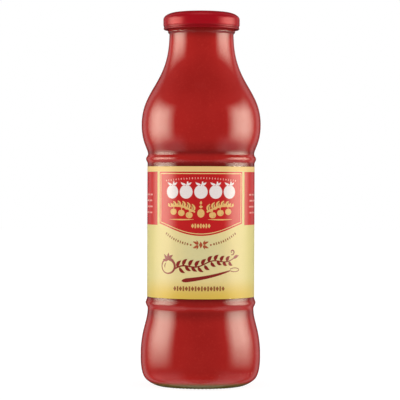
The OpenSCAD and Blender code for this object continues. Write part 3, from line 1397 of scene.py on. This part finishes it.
    def sprig(self) -> list[Patch]:
        """A tomato sprig: the stalk, leaves on both sides of it, three fruits beneath and a line of ground.

        Returns:
            The patches.
        """
        stalk = self.stalk()
        made = [pen(stalk, np.linspace(1.1, 0.5, 17))]
        for k, spot in enumerate(stalk[1:16:3]):
            made.append(leaf(spot, (1.0, 4.8 - 0.35 * k), 2.5, 0.5))
            made.append(leaf(spot, (3.6 - 0.2 * k, 2.3), 1.8, -0.5))
        made.append(leaf(stalk[-1], (1.0, 2.4), 1.5, -0.3))
        for k, spot in enumerate(stalk[3:15:5]):
            fruit = spot + np.array([0.5, -2.1 - 0.4 * (k == 1)])
            made.append(pen(bow(spot, fruit, 0.3, 6), 0.5))
            made.append(round_spot(fruit + np.array([0.2, -1.4]), 2.25, 2.05, 0.2))
        ground = bow((4.6, self.ground_v), (21.4, self.ground_v), -0.2, 12)
        return [*made, pen(ground, 0.8 * swell(0.2, 3.0, 13))]

    def sprig_veins(self) -> list[Patch]:
        """The brown drawing on the sprig: a vein in each tall leaf and a shaded side on each fruit.

        Returns:
            The patches.
        """
        stalk = self.stalk()
        made = []
        for k, spot in enumerate(stalk[1:16:3]):
            tip = spot + np.array([1.0, 3.9 - 0.35 * k])
            made.append(pen(bow(spot + np.array([0.2, 0.8]), tip, 0.4, 6), 0.5))
        for k, spot in enumerate(stalk[3:15:5]):
            middle = spot + np.array([0.7, -3.5 - 0.4 * (k == 1)])
            made.append(pen(arc(tuple(middle), 1.35, -75, 40, 8), 0.6 * swell(0.3, 2.9, 9)))
        return made

    def gold_print(self) -> list[Patch]:
        """The two sprigs, the stacked lozenges and the oval between them, and the small row beneath.

        Returns:
            The patches.
        """
        v = self.emblem_v
        made = both_sides(self.sprig()) + self.mark_row(np.array(self.gold_row), 7, 2.8)
        made += [lozenge((0, v + 6.7), 0.9, 1.3), lozenge((0, v + 4.2), 1.3, 1.1)]
        return [*made, round_spot((0, v), 2.3, 2.7)]

    def brown_print(self) -> list[Patch]:
        """The arched rows under the shield, the low row, the drawing in the gold and the back's print.

        Returns:
            The patches.
        """
        arched = bow(*self.arched_row, -0.9, 16)
        made = both_sides(self.mark_row(arched, 11, 1.8) + self.sprig_veins())
        made += [lozenge((0, self.emblem_v), 1.1, 1.6)]
        made += self.mark_row(np.array(self.low_row), 17, 3.1)
        for row in range(self.back_rows):
            v = self.back_top - self.back_step * row
            length = 15.5 - 3.4 * (row % 3 == 2)
            made.append(field_of(self.back_u, self.back_u + length, v, v + 0.9))
        left, right = -self.back_u - self.box_w, -self.back_u
        foot, head = self.box_foot, self.box_foot + self.box_w
        made += [field_of(left, right, v, v + self.rule_w) for v in (foot, head)]
        made += [field_of(u, u + self.rule_w, foot, head + self.rule_w) for u in (left, right - self.rule_w)]
        lines = [(right - 2.5 - 2 * row, head + 11.0 + 5.5 * row) for row in range(3)]
        return made + [field_of(left, end, v, v + 0.9) for end, v in lines]

    def ornament(self) -> list[Patch]:
        """The small red ornament over the branch: a lozenge between two pairs of leaves and dots.

        Returns:
            The patches.
        """
        v = self.ornament_v
        right = [round_spot((6.5, v), 0.6, 0.6)]
        for up, tip in ((1, 2.1), (-1, -2.0)):
            right.append(leaf((1.9, v), (3.3, tip), 1.5, up * 0.4))
            right.append(leaf((1.6, v + up * 0.3), (1.3, up * 2.7), 0.9, up * 0.2))
        return [lozenge((0, v), 1.2, 2.3), *both_sides(right)]

    def branch(self) -> list[Patch]:
        """The leafy branch that climbs to the right: a waving stem, pairs of leaves and a curl at its end.

        Returns:
            The patches.
        """
        t = np.linspace(0, 1, 97)
        wave = 1.1 * np.sin(4 * np.pi * t)
        (u, v), (run, rise) = self.branch_from, self.branch_run
        stem = np.stack([u + run * t, v + rise * t + wave], axis=1)
        made = [pen(stem, 1.0 - 0.4 * t)]
        for k, spot in enumerate(stem[4:92:10]):
            size = 1.0 - 0.03 * k
            made.append(leaf(spot, (3.0 * size, 4.6 * size), 2.3, 0.8))
            made.append(leaf(spot + np.array([1.6, 0.2]), (5.6 * size - 1.6, -3.4 * size - 0.2), 2.1, -0.7))
        made.append(leaf(stem[-1], (4.6, 1.8), 2.0, 0.4))
        made.append(curl((21.6, 30.2), 1.9, -120.0, 420.0, 0.9))
        return made

    def drawn_tomato(self) -> list[Patch]:
        """The tomato at the left end of the branch: a bold outline, a shine and a crown of five leaves.

        Returns:
            The patches.
        """
        middle = np.array(self.tomato_at)
        a = np.radians(np.linspace(90, 450, 61))
        ring = middle + np.stack([5.2 * np.cos(a), 4.6 * np.sin(a)], axis=1)
        made = [pen(ring, 1.15 + 0.45 * np.cos(a - 0.6))]
        made.append(pen(arc(self.tomato_at, 2.7, 120, 205, 10), 0.7 * swell(0.2, 2.9, 11)))
        crown = middle + np.array([0.2, 4.2])
        tips = ((-4.6, 0.2), (-3.4, 3.6), (0.4, 4.6), (3.6, 3.2), (4.4, -0.4))
        return made + [leaf(crown, tip, 1.9, 0.3) for tip in tips]

    def brush_line(self) -> list[Patch]:
        """The brush line under the branch: thick on the left, thinning to the right into a small loop.

        Returns:
            The patches.
        """
        t = np.linspace(0, 1, 31)
        line = bow(self.brush_from, self.brush_to, -0.8, 30)
        stroke = pen(line, 2.3 * (1 - t) ** 0.6 * (t * 12).clip(0, 1) ** 0.5 + 0.5)
        a = np.linspace(-2.6, 2.9, 30)
        u, v = self.loop_at
        return [stroke, pen(np.stack([u + 3.6 * np.cos(a), v + 1.15 * np.sin(a) + 0.05 * a], axis=1), 0.5)]

    def build(self) -> None:
        """Makes one piece of each ink."""
        red_drawing = self.branch() + self.drawn_tomato() + self.brush_line()
        self.lay(Ink.RED_FIELD, "label_red_fields", self.red_fields())
        self.lay(Ink.CREAM_LINE, "label_cream_lines", self.cream_lines())
        self.lay(Ink.WHITE, "label_white_fruit", self.white_fruit())
        self.lay(Ink.PINK, "label_pale_marks", self.pale_marks())
        self.lay(Ink.GOLD, "label_gold_sprigs", self.gold_print())
        self.lay(Ink.BROWN, "label_brown_marks", self.brown_print())
        self.lay(Ink.DEEP_RED, "label_red_scroll", red_drawing)
        self.lay(Ink.RUST, "label_rust_ornament", self.ornament())

    def lay(self, ink: Ink, name: str, patches: list[Patch]) -> None:
        """Lays patches of one ink round the bottle as one piece.

        Args:
            ink: the ink.
            name: the piece's name.
            patches: the ink's patches.
        """
        finish, proud = ink.value
        wrap = self.label.wrapped
        slabs = [slab(wrap(p.u, p.v, proud), wrap(p.u, p.v, proud - self.ink_t)) for p in patches]
        make_piece(name, gathered(slabs), finish, Slot.PAPER)


# ---------------------------------------------------------------- the studio


@dataclass(frozen=True)
class Studio:
    """A white room: an even dome of light, a tall soft box on each side, and matt white paper underfoot.

    Turns are in degrees from the front, the same on both sides, and rises in degrees above the horizon. A
    pair that bounds a band holds the middle and the half width of its soft edge.
    """

    cloth: DiffuserCloth = DiffuserCloth()
    box_r: float = 500.0
    side_turn: tuple[Pair, Pair] = ((61.0, 15.0), (107.0, 15.0))
    side_rise: tuple[Pair, Pair] = ((-30.0, 15.0), (45.0, 15.0))
    side_lift: float = 1.15
    strip_turn: tuple[Pair, Pair] = ((132.0, 9.0), (152.0, 9.0))
    strip_rise: tuple[Pair, Pair] = ((-50.0, 5.0), (60.0, 5.0))
    strip_glow: float = 0.35
    table_turn: tuple[Pair, Pair] = ((42.0, 18.0), (118.0, 16.0))
    dome: float = 0.82
    zenith: float = 0.55
    dome_step: Pair = (15.0, 80.0)
    # Each of these steps holds the rises where it starts and ends, and the brightness before and after it.
    ceiling_step: tuple[float, ...] = (60.0, 85.0, 0.04, 0.9)
    table_step: tuple[float, ...] = (-34.0, -10.0, 0.6, 0.0)
    near_step: tuple[float, ...] = (-60.0, -42.0, 0.45, 0.0)
    pulp_light: float = 2.0
    pulp_light_deg: float = 96.0
    pulp_lamp_deg: float = 60.0
    floor_r: float = 4000.0
    floor_inner_r: float = 300.0
    floor_z: float = -0.02
    floor_t: float = 0.02

    def gloss(self, tree: Tree, turn: Socket, rise: Socket) -> Socket:
        """What glossy surfaces see: a dark room with two strips, a ceiling, and the table's glow below.

        Args:
            tree: the node tree.
            turn: the direction's turn from the front.
            rise: its rise.

        Returns:
            The brightness.
        """
        ceiling, table, near_table = (
            add_node(tree, "MapRange", dict(enumerate((rise, *step))), interpolation_type=SOFT)
            for step in (self.ceiling_step, self.table_step, self.near_step)
        )
        strip_turn, strip_rise = band(tree, turn, *self.strip_turn), band(tree, rise, *self.strip_rise)
        strips = add_node(tree, "Math", {0: strip_turn, 1: strip_rise}, operation="MULTIPLY")
        glow = {0: table, 1: band(tree, turn, *self.table_turn)}
        under = add_node(tree, "Math", glow, operation="MULTIPLY")
        total = add_node(tree, "Math", {0: strips, 1: self.strip_glow, 2: ceiling}, operation="MULTIPLY_ADD")
        total = add_node(tree, "Math", {0: under, 1: total}, operation="ADD")
        return add_node(tree, "Math", {0: near_table, 1: total}, operation="ADD")

    def light(self) -> None:
        """Sets up the world: white for the eye, a dome of soft light, and a dark room for glossy surfaces."""
        world = bpy.data.worlds.new("white_studio")
        bpy.context.scene.world = world
        world.use_nodes = True
        world.cycles.sampling_method = "NONE"
        tree = world.node_tree
        tree.nodes.clear()
        way = add_node(tree, "TexCoord", take="Generated")
        x, y, z = add_node(tree, "SeparateXYZ", {0: way}).node.outputs
        turn = turn_of(tree, x, y)
        rise = add_node(tree, "Math", {0: z}, operation="ARCSINE")
        rise = add_node(tree, "Math", {0: rise}, operation="DEGREES")
        side_turn, side_rise = band(tree, turn, *self.side_turn), band(tree, rise, *self.side_rise)
        sides = add_node(tree, "Math", {0: side_turn, 1: side_rise}, operation="MULTIPLY")
        climb = {0: rise, 1: self.dome_step[0], 2: self.dome_step[1], 3: self.dome, 4: self.zenith}
        dome = add_node(tree, "MapRange", climb, interpolation_type=SOFT)
        soft = add_node(tree, "Math", {0: sides, 1: self.side_lift, 2: dome}, operation="MULTIPLY_ADD")
        dome, shine, backdrop = (
            add_node(tree, "Background", {"Color": srgb("#FFFFFF"), "Strength": strength})
            for strength in (soft, self.gloss(tree, turn, rise), 1.0)
        )
        path = add_node(tree, "LightPath").node.outputs
        lit = add_node(tree, "MixShader", {0: path["Is Glossy Ray"], 1: dome, 2: shine})
        seen = add_node(tree, "MixShader", {0: path["Is Camera Ray"], 1: lit, 2: backdrop})
        add_node(tree, "OutputWorld", {"Surface": seen})
        bpy.context.scene.view_settings.view_transform = "Standard"

    def soft_boxes(self) -> None:
        """Stands a curved panel on each side, (r sin a, -r cos a, z), seen only in glossy surfaces."""
        cloth = self.cloth
        material = cloth.material()
        material.cycles.emission_sampling = "NONE"
        turns = np.radians(np.linspace(cloth.near[0] - cloth.near[1], cloth.far[0] + cloth.far[1], 33))
        z = np.linspace(cloth.low[0] - cloth.low[1], cloth.high[0] + cloth.high[1], 9)[:, None]
        for side, name in ((1, "soft_box_right"), (-1, "soft_box_left")):
            a = side * turns[None, :]
            grid = np.broadcast_arrays(self.box_r * np.sin(a), -self.box_r * np.cos(a), z)
            surface = Surface(np.stack(grid, axis=-1).reshape(-1, 3), grid_quads(9, 33))
            panel = bpy.data.objects.new(name, surface.mesh(name, 60))
            panel.data.materials.append(material)
            bpy.context.scene.collection.objects.link(panel)
            for ray in ("camera", "diffuse", "transmission", "shadow"):
                setattr(panel, "visible_" + ray, False)

    def pulp_lamps(self, filling: bpy.types.Object) -> None:
        """Two wide lamps beside the bottle for the passata alone: the light that soaks in through its sides.

        Args:
            filling: the piece that they light.
        """
        receivers = bpy.data.collections.new("lit_from_the_sides")
        receivers.objects.link(filling)
        for side, name in ((1, "pulp_lamp_right"), (-1, "pulp_lamp_left")):
            lamp = bpy.data.lights.new(name, "SUN")
            lamp.energy, lamp.angle = self.pulp_light, math.radians(self.pulp_lamp_deg)
            thing = bpy.data.objects.new(name, lamp)
            thing.rotation_euler = (math.radians(90), 0, side * math.radians(self.pulp_light_deg))
            thing.light_linking.receiver_collection = receivers
            bpy.context.scene.collection.objects.link(thing)

    def floor(self) -> None:
        """Lays the paper: a thin disc of rings, (r sin a, -r cos a, z), just under the bottle."""
        z = self.floor_z
        outline = np.array([(0, z), (self.floor_inner_r, z), (self.floor_r, z), (0, z - self.floor_t)])
        mesh = turned(outline, even_turn(120)).mesh("studio_floor", 30)
        mesh.flip_normals()
        mesh.materials.append(StudioPaper().material())
        floor = bpy.data.objects.new("studio_floor", mesh)
        bpy.context.scene.collection.objects.link(floor)
        floor.visible_glossy = False


@dataclass(frozen=True)
class StudioCamera:
    """A long lens at the height of the label, looking at the bottle's front. Lengths are in millimetres."""

    distance: float = 1286.0
    height: float = 134.6
    lens: float = 175.4
    sensor: float = 36.0
    clip: Pair = (50.0, 50000.0)
    down_deg: float = 0.56
    roll_deg: float = 0.2
    turn_deg: float = 0.027

    def place(self) -> None:
        """Puts the camera in front: turned, then tipped down, then rolled about its own line of sight."""
        data = bpy.data.cameras.new("studio_camera")
        data.lens = self.lens
        data.sensor_width = self.sensor
        data.clip_start, data.clip_end = (MM * reach for reach in self.clip)
        camera = bpy.data.objects.new("studio_camera", data)
        bpy.context.scene.collection.objects.link(camera)
        aim = Euler((math.radians(90 - self.down_deg), 0, math.radians(self.turn_deg))).to_matrix()
        roll = Matrix.Rotation(math.radians(self.roll_deg), 3, "Z")
        spot = (0, -self.distance * MM, self.height * MM)
        camera.matrix_world = Matrix.LocRotScale(spot, aim @ roll, None)
        bpy.context.scene.camera = camera


def main() -> None:
    """Builds the studio and then the bottle, from the glass outwards."""
    logging.basicConfig(level=logging.INFO, format="%(name)s: %(message)s")
    studio = Studio()
    StudioCamera().place()
    studio.light()
    studio.floor()
    studio.soft_boxes()
    form = BottleForm.from_frame()
    label = WrapLabel(form)
    studio.pulp_lamps(Filling(form).build())
    for part in (GlassBottle(form), TwistOffLid(form), label, LabelPrint(label)):
        LOG.info("building %s", type(part).__name__)
        part.build()


if __name__ == "__main__":
    main()
